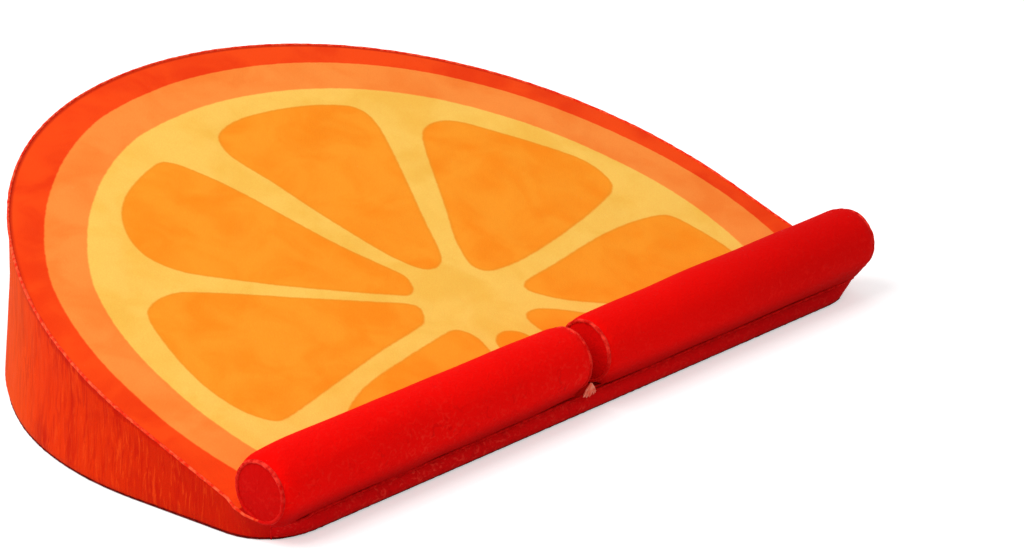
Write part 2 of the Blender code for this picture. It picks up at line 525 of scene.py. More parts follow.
def side_ruffle(place):
    """Upright creases of the side wall, with puckers under its top seam."""
    x, y, z = place
    below = slope_height(y) - z
    streak = noise.noise(Vector((x / streak_width, y / streak_width, z / streak_length)))
    pucker = noise.noise(Vector((x, y, 0)) / pucker_length) * max(0, 1 - below / pucker_fade)
    held = min(1, max(0, below - 2 * cloth) / pucker_fade, z / pucker_fade)
    return streak_depth * streak * held + 2 * pucker_depth * pucker * held


def top_ruffle(place):
    """Puckers of the top's cloth along its seam."""
    inside = in_from_edge(place.x, place.y)[0]
    pucker = noise.noise(Vector((place.x, place.y, 0)) / pucker_length)
    held = min(1, max(0, inside - cloth) / pucker_fade)
    return 2 * pucker_depth * pucker * max(0, 1 - inside / pucker_fade) * held


smooth_degrees = 50


def smooth(piece):
    choose(piece)
    bpy.ops.object.shade_smooth_by_angle(angle=math.radians(smooth_degrees))


bead_grain = 2.4 * mm
bead_cuts = 2
bead_roundness = 2


def make_bead(shell, name, radius, between, unevenness_share=0.3):
    """Round bead of sewing along the seam between two parts of a shell."""
    wire = copy_of(shell, name)
    mesh = opened(wire)
    kept = [
        edge for edge in seam_edges(mesh)
        if {face.material_index for face in edge.link_faces} == set(between)
    ]
    unused = set(mesh.edges) - set(kept)
    bmesh.ops.delete(mesh, geom=list(unused), context="EDGES_FACES")
    close_into(wire, mesh)
    wire.data.materials.clear()
    begin(wire)
    select_all()
    bpy.ops.mesh.delete_loose(use_verts=True, use_edges=False)
    select_all()
    bpy.ops.mesh.subdivide(number_cuts=bead_cuts)
    end()
    bpy.ops.object.convert(target="CURVE")
    wire.data.bevel_depth = radius
    wire.data.bevel_resolution = bead_roundness
    wire.data.use_fill_caps = True
    bpy.ops.object.convert(target="MESH")
    begin(wire)
    outward_normals()
    end()
    swing = unevenness_share * radius
    ruffle(wire, lambda place: swing * noise.noise(place / bead_grain))
    smooth(wire)
    return name_only(wire, name)


# Finishes

def seen(red, green, blue):
    """Colour as it is seen, from 0 to 255, as the shader's linear one, by the sRGB curve."""
    shares = [value / 255 for value in (red, green, blue)]
    linear = [s / 12.92 if s <= 0.04045 else ((s + 0.055) / 1.055) ** 2.4 for s in shares]
    return (*linear, 1)


class Finish:
    """One material: adds its nodes and joins them up."""

    def __init__(self, name):
        self.material = bpy.data.materials.new(name)
        self.material.use_nodes = True
        self.tree = self.material.node_tree
        self.shader = self.tree.nodes["Principled BSDF"]
        self.place = self.add("TexCoord").outputs["Object"]

    def add(self, kind, inputs=None, **settings):
        made = self.tree.nodes.new("ShaderNode" + kind)
        for key, value in settings.items():
            setattr(made, key, value)
        for key, value in (inputs or {}).items():
            self.fill(made.inputs[key], value)
        return made

    def fill(self, socket, value):
        """Joins a value to a socket, or sets a plain one there."""
        if isinstance(value, bpy.types.NodeSocket):
            self.tree.links.new(value, socket)
        else:
            socket.default_value = value

    def set(self, values):
        """Sets the shader's own sockets."""
        for key, value in values.items():
            self.fill(self.shader.inputs[key], value)

    def axis(self, name):
        """How far the place lies along one axis."""
        return self.add("SeparateXYZ", {"Vector": self.place}).outputs[name]

    def stretched(self, scale):
        """The place on the piece, stretched along its axes."""
        return self.add("Mapping", {"Vector": self.place, "Scale": scale}).outputs["Vector"]

    def noise(self, size, place=None, detail=2, distortion=0):
        """Soft noise from 0 to 1 whose patches are about this size."""
        inputs = {
            "Vector": place or self.place,
            "Scale": 1 / size,
            "Detail": detail,
            "Distortion": distortion,
        }
        return self.add("TexNoise", inputs).outputs["Fac"]

    def math(self, operation, first, second=0.0, third=0.0):
        values = {0: first, 1: second, 2: third}
        return self.add("Math", values, operation=operation).outputs[0]

    def step(self, value, low, high, to_low=0.0, to_high=1.0):
        """Smooth step of a value between two limits, from one share to another."""
        inputs = {
            "Value": value,
            "From Min": low,
            "From Max": high,
            "To Min": to_low,
            "To Max": to_high,
        }
        return self.add("MapRange", inputs, interpolation_type="SMOOTHSTEP").outputs["Result"]

    def mix(self, share, low, high):
        """Colour between two others; the node keeps its colours at these sockets."""
        values = {0: share, 6: low, 7: high}
        return self.add("Mix", values, data_type="RGBA").outputs[2]

    def shade(self, colour, other, value, step):
        """Colour that turns to another by a step of a value."""
        return self.mix(self.step(value, *step), colour, other)

    def read(self, name):
        """A number that is stored for each point of the panel."""
        return self.add("Attribute", attribute_name=name).outputs["Fac"]

    def bump(self, height, distance, under=None):
        inputs = {"Height": height, "Distance": distance}
        if under:
            inputs["Normal"] = under
        return self.add("Bump", inputs).outputs["Normal"]

    def pile(self, colour, normal, sheen, tint):
        """Short pile: rough, hardly glossy, with the sheen of its standing fibres."""
        values = {
            "Base Color": colour,
            "Normal": normal,
            "Roughness": 0.85,
            "Specular IOR Level": 0.04,
            "Sheen Weight": sheen,
            "Sheen Roughness": 0.35,
            "Sheen Tint": (*tint, 1),
        }
        self.set(values)
        return self.material


# The printed slice: its rings round one middle, and its segments as closed outlines in plan

print_shift = (-0.3 * mm, arc_center_y + 50.5 * mm)
pith_center = (-2.6 * mm, -57.1 * mm)
pith_radius = 157.4 * mm
ring_center = (-0.7 * mm, -57.2 * mm)
ring_radius = 177 * mm

# How many millimetres the rings are drawn out, round the slice from its right-hand side
ring_pulls = (
    (0, 1.5), (18, 0.3), (28, 0.3), (46, 1.8), (62, 1.3), (76, 0.3), (94, 0.2), (106, 1.5),
    (116, 0.6), (126, -0.2), (138, 0), (150, 1.2), (160, 0.2), (174, -1.4), (190, -1),
)
print_softness = 0.5 * mm
print_wander = 0.7 * mm

# Points of each segment's outline in millimetres, joined by a smooth closed curve
segment_outlines = {
    "middle": (
        (-15, 64), (-13.5, 74), (-9, 81), (0, 84.7), (12, 86), (30, 84), (48, 79.5), (62, 73),
        (67, 67.5), (67, 59), (61, 45), (45, 17), (31, -6.5), (20, -26), (14.5, -32.5),
        (8.5, -34.8), (2.8, -32.8), (-1, -27), (-5, -14), (-9, 13), (-12, 42),
    ),
    "right_upper": (
        (25, -40), (26, -44.5), (29.5, -47.4), (36, -48.4), (50, -48.2), (75, -44.6), (100, -39.5),
        (120, -34), (130, -30), (134.5, -24.5), (136.3, -15), (134, -4.5), (124, 12), (113, 28),
        (104, 39.5), (95, 44.3), (85, 43.5), (77, 37.5), (64, 20), (48, -3), (34, -22),
        (27.5, -33.5),
    ),
    "left_upper": (
        (-9, -31), (-9.6, -36.5), (-13, -41.8), (-17.5, -43.2), (-24, -39.8), (-42, -28),
        (-62, -14), (-82, 1.5), (-95, 12.5), (-101.5, 23), (-103, 33), (-100, 44), (-92, 56),
        (-80, 66), (-65, 73), (-51, 77.4), (-45.5, 76.8), (-41, 71.5), (-35, 57.5), (-29, 38),
        (-20, 0), (-13, -20),
    ),
    "left": (
        (-20, -52.5), (-22, -48), (-31, -42), (-60, -24.5), (-82, -10.5), (-100, 0), (-109, 4.3),
        (-119, 4.8), (-128, 2), (-133.5, -3.5), (-138, -14.5), (-142.8, -33), (-144.8, -50),
        (-143.2, -65), (-139, -74), (-134.5, -78.8), (-129, -79.6), (-115, -77.3),
        (-90, -72.2), (-60, -66.2), (-31, -61.8), (-24.5, -59),
    ),
    "left_lower": (
        (-12.5, -79.5), (-14.5, -72.8), (-18.5, -70.1), (-26, -70.5), (-50, -74), (-75, -78.2),
        (-92, -83.4), (-106, -91.5), (-115, -101), (-119, -113), (-115, -125), (-100, -134),
        (-60, -136), (-38, -132), (-28, -120), (-20, -103), (-15, -90),
    ),
    "small": (
        (-9.2, -90.5), (-7, -84.6), (-2.5, -81.4), (2.5, -81.2), (7.2, -83.8), (9.7, -88.5),
        (11, -96), (14, -115), (16, -134), (0, -138), (-18, -134), (-14.5, -112),
    ),
    "right_lower": (
        (17.6, -84.5), (18.8, -78.8), (23, -76.2), (29, -77), (38, -82.5), (47, -90), (62, -103),
        (78, -119), (86, -134), (60, -138), (32, -134), (24, -113), (18.6, -93),
    ),
    "right": (
        (34.4, -64.5), (37, -61), (43, -59.4), (60, -57.4), (80, -54.3), (100, -52), (118, -51.6),
        (132, -53.2), (139, -56), (142, -62.5), (144.4, -75), (145, -89), (142, -102), (134, -113),
        (121, -118), (106, -114.5), (84, -104), (60, -88.5), (46, -79), (38.5, -71.5),
    ),
}
outline_curve_steps = 6


def smooth_outline(corners):
    """Closed curve through given points, as an array of places in plan."""
    corners = np.array(corners) * mm + np.array(print_shift)
    before, after, beyond = (np.roll(corners, turn, axis=0) for turn in (1, -1, -2))
    curve = []
    for k in range(outline_curve_steps):
        t = k / outline_curve_steps
        curve.append(0.5 * (
            2 * corners + (after - before) * t
            + (2 * before - 5 * corners + 4 * after - beyond) * t ** 2
            + (3 * corners - before - 3 * after + beyond) * t ** 3
        ))
    return np.stack(curve, axis=1).reshape(-1, 2)


def distance_to_outline(spots, outline):
    """Distance from places in plan to a closed outline, less than zero inside it."""
    run = np.roll(outline, -1, axis=0) - outline
    offset = spots[:, None, :] - outline[None]
    share = np.clip((offset * run).sum(2) / (run ** 2).sum(1), 0, 1)
    gap = np.linalg.norm(offset - share[..., None] * run, axis=2).min(1)
    x, y = spots[:, 0, None], spots[:, 1, None]
    next_y = outline[:, 1] + run[:, 1]
    spans = (outline[:, 1] > y) != (next_y > y)
    rise = np.where(run[:, 1] == 0, 1, run[:, 1])
    crossing = outline[:, 0] + (y - outline[:, 1]) / rise * run[:, 0]
    inside = (spans & (x < crossing)).sum(1) % 2 == 1
    return np.where(inside, -gap, gap)


def store(panel, name, values):
    """Stores a number for each point of a panel, for its finish to read."""
    layer = panel.data.attributes.new(name, "FLOAT", "POINT")
    layer.data.foreach_set("value", values)


def print_slice(panel):
    """Stores how far each point of the top panel lies from the nearest segment and from its edge,
    and how far the printed rings are drawn out there."""
    spots = places(panel.data)[:, :2]
    nearest = np.full(len(spots), half_width)
    for corners in segment_outlines.values():
        outline = smooth_outline(corners)
        nearest = np.minimum(nearest, distance_to_outline(spots, outline))
    store(panel, "segment_distance", nearest)
    from_middle = spots - np.array(print_shift) - np.array(ring_center)
    angles = np.degrees(np.arctan2(from_middle[:, 1], from_middle[:, 0]))
    angles = np.where(angles < -90, angles + 360, angles)
    store(panel, "ring_pull", np.interp(angles, *zip(*ring_pulls)) * mm)
    store(panel, "edge_distance", [in_from_edge(x, y)[0] + stand_out(x, y) for x, y in spots])


def ring_distance(finish, center):
    """How far a place lies from the middle of a printed ring, in plan."""
    middle = (center[0] + print_shift[0], center[1] + print_shift[1], 0)
    away = finish.add("VectorMath", {0: finish.place, 1: middle}, operation="SUBTRACT").outputs[0]
    flat = finish.add("VectorMath", {0: away, 1: (1, 1, 0)}, operation="MULTIPLY").outputs[0]
    return finish.add("VectorMath", {0: flat}, operation="LENGTH").outputs["Value"]


segment_colour = seen(255, 157, 38)
segment_shade = seen(253, 143, 26)
pith_colour = seen(253, 203, 92)
pith_shade = seen(248, 192, 78)
ring_colour = seen(254, 146, 62)
ring_shade = seen(250, 132, 50)
rim_colour = seen(250, 74, 18)
rim_shade = seen(238, 58, 12)
print_line = seen(236, 148, 34)
# Colour of the painted shade along the rim's edge at the back
painted_edge_shade = seen(182, 30, 10)

# Plain red strip under the roll, seen only in the gap
strip_colour = seen(190, 8, 4)
strip_edge_y = roll_axis_y + 11 * mm

# A step names two values and the shares of the effect there, from none to all if it names
# no shares. A fine darker line lies just inside each segment, and painted shade darkens the rim's
# edge towards the back
line_inset = 0.4 * mm
line_step = (0, 1.2 * mm, 0.5, 0)
painted_edge_shade_step = (2.4 * mm, 0.9 * mm, 0, 0.8)
painted_edge_shade_back = (10 * mm, 80 * mm)

wander_size = 3 * mm
smudge_size = 26 * mm
smudge_step = (0.35, 0.7)
wave_size = 30 * mm
wave_relief = 1.2 * mm
plush_nap_size = 0.7 * mm
plush_nap_step = (0.3, 0.75, 0.1, 0)
plush_nap_relief = 0.12 * mm
plush_sheen = 0.05


def plush_finish():
    finish = Finish("printed_plush")
    off_middle = finish.math("SUBTRACT", finish.noise(wander_size), 0.5)
    wander = finish.math("MULTIPLY", off_middle, print_wander)
    smudge = finish.step(finish.noise(smudge_size, detail=4, distortion=0.6), *smudge_step)
    segment = finish.math("ADD", finish.read("segment_distance"), wander)
    drawn = finish.math("SUBTRACT", wander, finish.read("ring_pull"))
    pith = finish.math("ADD", ring_distance(finish, pith_center), drawn)
    ring = finish.math("ADD", ring_distance(finish, ring_center), drawn)

    def printed_edge(distance, limit, colour, beyond):
        """Another colour from a limit on, with the print's soft edge between them."""
        soft_step = (limit - print_softness, limit + print_softness)
        return finish.shade(colour, beyond, distance, soft_step)

    flesh = finish.mix(smudge, segment_colour, segment_shade)
    inner = finish.mix(smudge, pith_colour, pith_shade)
    middle = finish.mix(smudge, ring_colour, ring_shade)
    outer = finish.mix(smudge, rim_colour, rim_shade)
    colour = printed_edge(segment, 0, flesh, inner)
    near_line = finish.math("ABSOLUTE", finish.math("ADD", segment, line_inset))
    colour = finish.shade(colour, print_line, near_line, line_step)
    colour = printed_edge(pith, pith_radius, colour, middle)
    colour = printed_edge(ring, ring_radius, colour, outer)
    backward = finish.axis("Y")
    colour = printed_edge(backward, strip_edge_y, strip_colour, colour)
    # Painted shade: the rim darkens near its edge towards the back
    at_edge = finish.step(finish.read("edge_distance"), *painted_edge_shade_step)
    at_back = finish.step(backward, *painted_edge_shade_back)
    colour = finish.mix(finish.math("MULTIPLY", at_edge, at_back), colour, painted_edge_shade)
    nap = finish.noise(plush_nap_size, detail=3)
    colour = finish.shade(colour, rim_shade, nap, plush_nap_step)
    normal = finish.bump(finish.noise(wave_size, detail=3), wave_relief)
    normal = finish.bump(nap, plush_nap_relief, normal)
    return finish.pile(colour, normal, plush_sheen, (1, 0.6, 0.3))


# Crushed velour of the wall: sizes of its streaks and patches, and where painted shade darkens it
# and a painted sheen lightens it
streak_stretch = (1, 1, 0.14)
streak_size = 1.5 * mm
dark_streak_size = 2.4 * mm
dark_streak_step = (0.54, 0.4)
streak_patch_stretch = (1, 1, 0.6)
streak_patch_size = 30 * mm
streak_patch_step = (0.42, 0.66)
streak_patch_share = 0.6
streak_spread = 30 * mm
streak_spread_step = (0.4, 0.6)
faint_streak_share = 0.4
painted_front_shade_step = (20 * mm, -110 * mm, 0.1, 0.8)
painted_seam_shade_step = (2 * mm, -2 * mm, 0, 0.8)
seam_stray = 9 * mm
painted_corner_shade_step = (-96 * mm, -122 * mm, 0, 0.85)
corner_stray = 12 * mm
painted_corner_shade = seen(196, 10, 8)
painted_sheen_step = (5 * mm, 55 * mm, 0, 0.24)
painted_sheen = seen(255, 110, 30)

# Crushed velour of the roll: the same for its rubbed marks, and where painted shade darkens it
rub_size = 2.8 * mm
dark_rub_size = 6 * mm
dark_rub_step = (0.42, 0.3)
rub_patch_size = 50 * mm
rub_patch_step = (0.35, 0.68, 0, 0.2)
rub_spread = 45 * mm
rub_spread_step = (0.42, 0.6, 0.5, 1)
painted_right_shade_step = (10 * mm, 160 * mm, 0, 0.85)
left_rubs_step = (-4 * mm, 6 * mm, 1, 0.3)
low_rubs_step = (roll_axis_z + 9 * mm, roll_axis_z, 0.35, 1)
painted_foot_shade_step = (roll_axis_z - 3 * mm, roll_axis_z - 14 * mm)

bright_mark_step = (0.52, 0.66)
mark_relief = 0.5 * mm
velour_nap_size = 0.6 * mm
velour_nap_step = (0.3, 0.75, 0.14, 0)
velour_nap_relief = 0.15 * mm
velour_sheen = 0.08


def upright_streaks(finish):
    """The wall's pile: fine upright streaks; painted shade to the front and under the top seam."""
    long = finish.stretched(streak_stretch)
    mark = finish.noise(streak_size, long, detail=4, distortion=0.8)
    dark_mark = finish.noise(dark_streak_size, long, detail=6, distortion=0.8)
    dark_mark = finish.step(dark_mark, *dark_streak_step)
    wide = finish.stretched(streak_patch_stretch)
    patches_and_painted_shade = finish.noise(streak_patch_size, wide, detail=6, distortion=0.8)
    patches_and_painted_shade = finish.math("MULTIPLY", finish.step(patches_and_painted_shade, *streak_patch_step), streak_patch_share)
    # Painted shade: darker towards the front
    toward_front = finish.step(finish.axis("Y"), *painted_front_shade_step)
    patches_and_painted_shade = finish.math("MAXIMUM", patches_and_painted_shade, toward_front)
    # Painted shade under the top seam, with a wandering edge
    top = finish.math("MULTIPLY_ADD", finish.axis("Y"), math.tan(slope), slope_height_at_middle)
    below = finish.math("SUBTRACT", top, finish.axis("Z"))
    stray = finish.noise(seam_stray, detail=4)
    below = finish.math("MULTIPLY_ADD", stray, -seam_stray, below)
    patches_and_painted_shade = finish.math("MAXIMUM", patches_and_painted_shade, finish.step(below, *painted_seam_shade_step))
    where = finish.noise(streak_spread, detail=3)
    where = finish.step(where, *streak_spread_step, faint_streak_share, 1)
    return mark, dark_mark, patches_and_painted_shade, where


def rubbed_marks(finish):
    """The roll's pile: short marks, most on its left half and low down; painted shade to the right.
    """
    mark = finish.noise(rub_size, detail=5, distortion=1.4)
    dark_mark = finish.noise(dark_rub_size, detail=4, distortion=1.4)
    dark_mark = finish.step(dark_mark, *dark_rub_step)
    patches_and_painted_shade = finish.noise(rub_patch_size, detail=3, distortion=0.4)
    patches_and_painted_shade = finish.step(patches_and_painted_shade, *rub_patch_step)
    # Painted shade: darker towards the right end
    patches_and_painted_shade = finish.math("MAXIMUM", patches_and_painted_shade, finish.step(finish.axis("X"), *painted_right_shade_step))
    left_half = finish.step(finish.axis("X"), *left_rubs_step)
    low_down = finish.step(finish.axis("Z"), *low_rubs_step)
    spread = finish.step(finish.noise(rub_spread), *rub_spread_step)
    where = finish.math("MULTIPLY", finish.math("MULTIPLY", left_half, spread), low_down)
    return mark, dark_mark, patches_and_painted_shade, where


def velour_finish(name, deep, middle, bright, marks, tint, painted_foot_shade=None, streaks=False):
    """Velour whose pile was crushed: patches and marks where it leans another way, with painted
    shade and sheen.
    """
    finish = Finish(name)
    marking = upright_streaks if streaks else rubbed_marks
    mark, dark_mark, patches_and_painted_shade, where = marking(finish)
    where = finish.math("MULTIPLY", where, marks)
    bright_mark = finish.step(mark, *bright_mark_step)
    colour = finish.mix(patches_and_painted_shade, middle, deep)
    colour = finish.mix(finish.math("MULTIPLY", bright_mark, where), colour, bright)
    colour = finish.mix(finish.math("MULTIPLY", dark_mark, where), colour, deep)
    if streaks:
        # Painted shade at the front corners
        corner = finish.math("MULTIPLY_ADD", mark, corner_stray, finish.axis("Y"))
        colour = finish.shade(colour, painted_corner_shade, corner, painted_corner_shade_step)
        # Painted sheen: more orange round the back
        colour = finish.shade(colour, painted_sheen, finish.axis("Y"), painted_sheen_step)
    # Painted shade: darker towards the foot
    if painted_foot_shade:
        colour = finish.shade(colour, painted_foot_shade, finish.axis("Z"), painted_foot_shade_step)
    nap = finish.noise(velour_nap_size, detail=3)
    colour = finish.shade(colour, deep, nap, velour_nap_step)
    normal = finish.bump(mark, mark_relief * marks)
    normal = finish.bump(nap, velour_nap_relief, normal)
    return finish.pile(colour, normal, velour_sheen, tint)


thread_mark_size = 2.2 * mm
thread_nap_size = 0.7 * mm
thread_relief = 0.25 * mm
thread_mark_step = (0.35, 0.7)
painted_highlight_step = (roll_axis_z - 9 * mm, roll_axis_z + 12 * mm, 0.1, 1)
thread_sheen = 0.08


def thread_finish(name, low, high, painted_top_highlight=False):
    """Pile and thread standing up along a seam; round a roll's end its bright marks are a painted
    highlight, fading towards its foot.
    """
    finish = Finish(name)
    mark = finish.step(finish.noise(thread_mark_size, detail=3), *thread_mark_step)
    if painted_top_highlight:
        # Painted highlight: the bright marks are kept to the top of the ridge
        mark = finish.math("MULTIPLY", mark, finish.step(finish.axis("Z"), *painted_highlight_step))
    normal = finish.bump(finish.noise(thread_nap_size), thread_relief)
    return finish.pile(finish.mix(mark, low, high), normal, thread_sheen, (1, 0.5, 0.4))


# The plain cloth underneath and the fillings, which show only where the cover is taken off
yarn_waves = 9 * mm
yarn_relief = 0.2 * mm
foam_cell = 1.8 * mm
foam_relief = 0.4 * mm
fibre_size = 1.5 * mm
fibre_relief = 0.6 * mm


def woven_finish(name, dark, light):
    """Plain weave: two crossing sets of yarns."""
    finish = Finish(name)
    waves = []
    for direction in ("X", "Y"):
        inputs = {"Vector": finish.place, "Scale": 1 / yarn_waves, "Distortion": 0.3}
        wave = finish.add("TexWave", inputs, wave_type="BANDS", bands_direction=direction)
        waves.append(wave.outputs["Fac"])
    weave = finish.math("MULTIPLY", *waves)
    colour = finish.shade(dark, light, weave, (0, 1))
    return finish.pile(colour, finish.bump(weave, yarn_relief), 0.1, (1, 0.8, 0.7))


def foam_finish():
    finish = Finish("wedge_foam")
    inputs = {"Vector": finish.place, "Scale": 1 / foam_cell}
    cell = finish.add("TexVoronoi", inputs).outputs["Distance"]
    colour = finish.mix(cell, seen(200, 186, 150), seen(240, 230, 200))
    return finish.pile(colour, finish.bump(cell, foam_relief), 0, (1, 1, 1))


def fibre_finish():
    finish = Finish("fibre_filling")
    strand = finish.noise(fibre_size, finish.stretched((0.25, 1, 1)), detail=5, distortion=2)
    colour = finish.mix(strand, seen(214, 210, 202), seen(250, 249, 246))
    return finish.pile(colour, finish.bump(strand, fibre_relief), 0.3, (1, 1, 1))


# Each velour's deep, middle and bright shade, and how strongly it is marked
plush = plush_finish()
side_velour = velour_finish(
    "side_velour", seen(190, 14, 2), seen(238, 56, 4), seen(246, 76, 18), 0.5,
    tint=(1, 0.5, 0.15), streaks=True,
)
# The roll's foot is darkened by painted shade
roll_velour = velour_finish(
    "roll_velour", seen(214, 2, 1), seen(248, 5, 1), seen(250, 38, 26), 0.75,
    tint=(1, 0.08, 0.05), painted_foot_shade=seen(188, 1, 1),
)
# The outer disc: the roll's velour made darker as painted shade
disc_velour_painted_shade = velour_finish(
    "disc_velour_painted_shade", seen(176, 3, 2), seen(204, 5, 3), seen(232, 40, 28), 0.3, tint=(1, 0.3, 0.2)
)
# The gap discs' foot is darkened by painted shade
gap_velour = velour_finish(
    "gap_velour", seen(196, 3, 3), seen(222, 5, 4), seen(236, 30, 24), 0.3,
    tint=(1, 0.3, 0.2), painted_foot_shade=seen(196, 2, 2),
)
front_velour = velour_finish(
    "front_velour", seen(196, 3, 8), seen(222, 8, 10), seen(240, 52, 40), 0.85, tint=(1, 0.3, 0.2)
)
base_weave = woven_finish("base_fabric", seen(150, 20, 10), seen(196, 40, 20))
top_thread = thread_finish("top_seam_pile", seen(238, 42, 16), seen(255, 98, 60))
# The ridge's bright marks are partly its pile and partly a painted highlight at the top
roll_thread = thread_finish("roll_seam_pile", seen(206, 7, 5), seen(252, 62, 46), painted_top_highlight=True)
pale_thread = thread_finish("tack_thread", seen(255, 118, 92), seen(255, 164, 138))
dark_thread = thread_finish("crease_thread", seen(190, 4, 5), seen(222, 14, 12))
# Thread of the foot seams, made very dark as painted contact shadow
painted_foot_shadow_thread = thread_finish("foot_seam_painted_shadow", seen(84, 2, 3), seen(124, 12, 8))
foam = foam_finish()
fibre = fibre_finish()


def dress(piece, finish, body="root"):
    piece.data.materials.clear()
    piece.data.materials.append(finish)
    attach(piece, body)


# The wedge's pieces

wedge_pressure = 4
wedge_swell = 0.3 * mm
filling_inset = 1.8 * mm
crease_radius = 0.55 * mm
corner_seam_radius = 0.35 * mm
base_seam_radius = 0.6 * mm


def make_filling(shell, name, even_offset):
    """What fills a cover: the cover's shell, drawn in all round."""
    filling = copy_of(shell, name)
    begin(filling)
    select_all()
    bpy.ops.transform.shrink_fatten(value=-filling_inset, use_even_offset=even_offset)
    end()
    smooth(filling)
    return filling


def make_foam_core(shell):
    core = make_filling(shell, "foam_core", True)
    dress(core, foam)
    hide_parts("foam_wedge")


def make_wedge():
    shell = make_wedge_shell()
    reshape(shell, wedge_place)
    mark_parts(shell, panel_names, panel_of)
    pin_seams(shell, lambda place: place.z < hair)
    make_foam_core(shell)
    swell(shell, wedge_pressure, wedge_swell)
    top, side, front, base = cut_apart(shell, panel_names)
    hem(top, edge_tuck, 1, top_ruffle)
    hem(side, edge_tuck, 1, side_ruffle, has_border=True)
    hem(front, edge_tuck, 1, has_border=True)
    hem(base, 0, 0)
    print_slice(top)
    dressed = (
        (top, plush, "printed_plush", "top_panel"),
        (side, side_velour, "side_velour", "side_band"),
        (front, front_velour, "front_velour", "front_band"),
        (base, base_weave, "base_fabric", "base_panel"),
    )
    for panel, finish, slot, node in dressed:
        dress(panel, finish)
        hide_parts(node)
    beads = (
        ("top_seam", (0, 1), seam_radius, top_thread, "seam_thread", "top_edge_seam"),
        ("front_top_seam", (0, 2), crease_radius, dark_thread, "seam_thread", None),
        # The foot seams carry painted contact shadow
        ("base_seam", (1, 3), base_seam_radius, painted_foot_shadow_thread, "side_velour", "base_edge_seam"),
        ("front_base_seam", (2, 3), base_seam_radius, painted_foot_shadow_thread, "front_velour", None),
        ("corner_seams", (1, 2), corner_seam_radius, front_velour, "front_velour", None),
    )
    for name, panels, radius, finish, slot, node in beads:
        bead = make_bead(shell, name, radius, panels)
        points = places(bead.data)
        points[:, 2] += max(0, -points[:, 2].min())
        put(bead, points)
        dress(bead, finish)
        if node:
            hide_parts(node)
    bpy.data.objects.remove(shell)


# The roll

roll_sides = 96
roll_step = 2.5 * mm
disc_rings = 5
disc_dome = 1.2 * mm
outer_pull = 2.3 * mm
inner_pull = 1.3 * mm
end_run = 7 * mm
roll_swell = 0.5 * mm
roll_pressure = 4
gather_depth = 0.3 * mm
gathers = 17
inner_slack = 0.7 * mm
inner_slack_run = 70 * mm
gather_fade = 5 * mm
roll_ripple = 0.5 * mm
roll_ripple_length = 26 * mm
gather_start = 2 * mm
gather_stray = 5
gather_stray_length = 30 * mm
gather_stray_share = 1.3
ridge_radii = {"outer": 0.85 * mm, "inner": 0.8 * mm}
ridge_unevenness_share = 0.25
hem_clear = 0.4 * mm
seat_gap = 0.3 * mm
hem_spread = math.radians(14)

# The front seam as seen from the roll's axis: the cover is drawn down towards it there, and
# the row of stitching fills the room that is left
seam_across = front_y - roll_axis_y
seam_down = slope_height(front_y) - roll_axis_z
hem_angle = math.atan2(seam_down, seam_across)
hem_reach = math.hypot(seam_across, seam_down) - roll_radius - hem_clear


def slope_gap(x, y, z):
    """How high a place lies above the slope, square to it."""
    return (z - slope_height(y) + sag_at(x, y)) * math.cos(slope)


# Both halves end a little to the right at the gap, as photographed
left_inner_shift = 1.5 * mm
right_inner_shift = 3.3 * mm


def end_planes(side_name, side):
    """The places along X of a half roll's outer and inner seams."""
    outer_low, outer_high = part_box(side_name + "_roll_outer_seam")
    inner_low, inner_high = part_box(side_name + "_roll_inner_seam")
    if side < 0:
        return outer_low.x + seam_proud, inner_high.x - seam_proud + left_inner_shift
    return outer_high.x - seam_proud, inner_low.x + seam_proud + right_inner_shift


def lying_cylinder(sides, radius, length, middle, rows):
    """Cylinder along X, cut into rows across its length and left in edit mode."""
    bpy.ops.mesh.primitive_cylinder_add(
        vertices=sides, radius=radius, depth=length, location=middle, rotation=(0, math.pi / 2, 0)
    )
    cylinder = bpy.context.object
    settle()
    begin(cylinder)
    pick("EDGE", lambda e: e.calc_length() > length / 2)
    cut_rows(rows - 1)
    return cylinder


def make_roll_shell(outer_x, inner_x):
    """Closed cylinder of half a roll, with rows along it and rings on its ends."""
    length = abs(outer_x - inner_x)
    middle = ((outer_x + inner_x) / 2, roll_axis_y, roll_axis_z)
    shell = lying_cylinder(roll_sides, roll_radius, length, middle, round(length / roll_step))
    for end_x in (outer_x, inner_x):
        pick("FACE", lambda f: abs(f.calc_center_median().x - end_x) < hair)
        for ring in range(disc_rings):
            bpy.ops.mesh.inset(thickness=roll_radius / (disc_rings + 1))
        bpy.ops.mesh.poke()
    end()
    return shell


def gather_at(from_seam):
    """How deep the gathers are at this way from the seam round a roll's end."""
    return gather_depth * math.exp(-from_seam / gather_fade) * min(1, from_seam / gather_start)


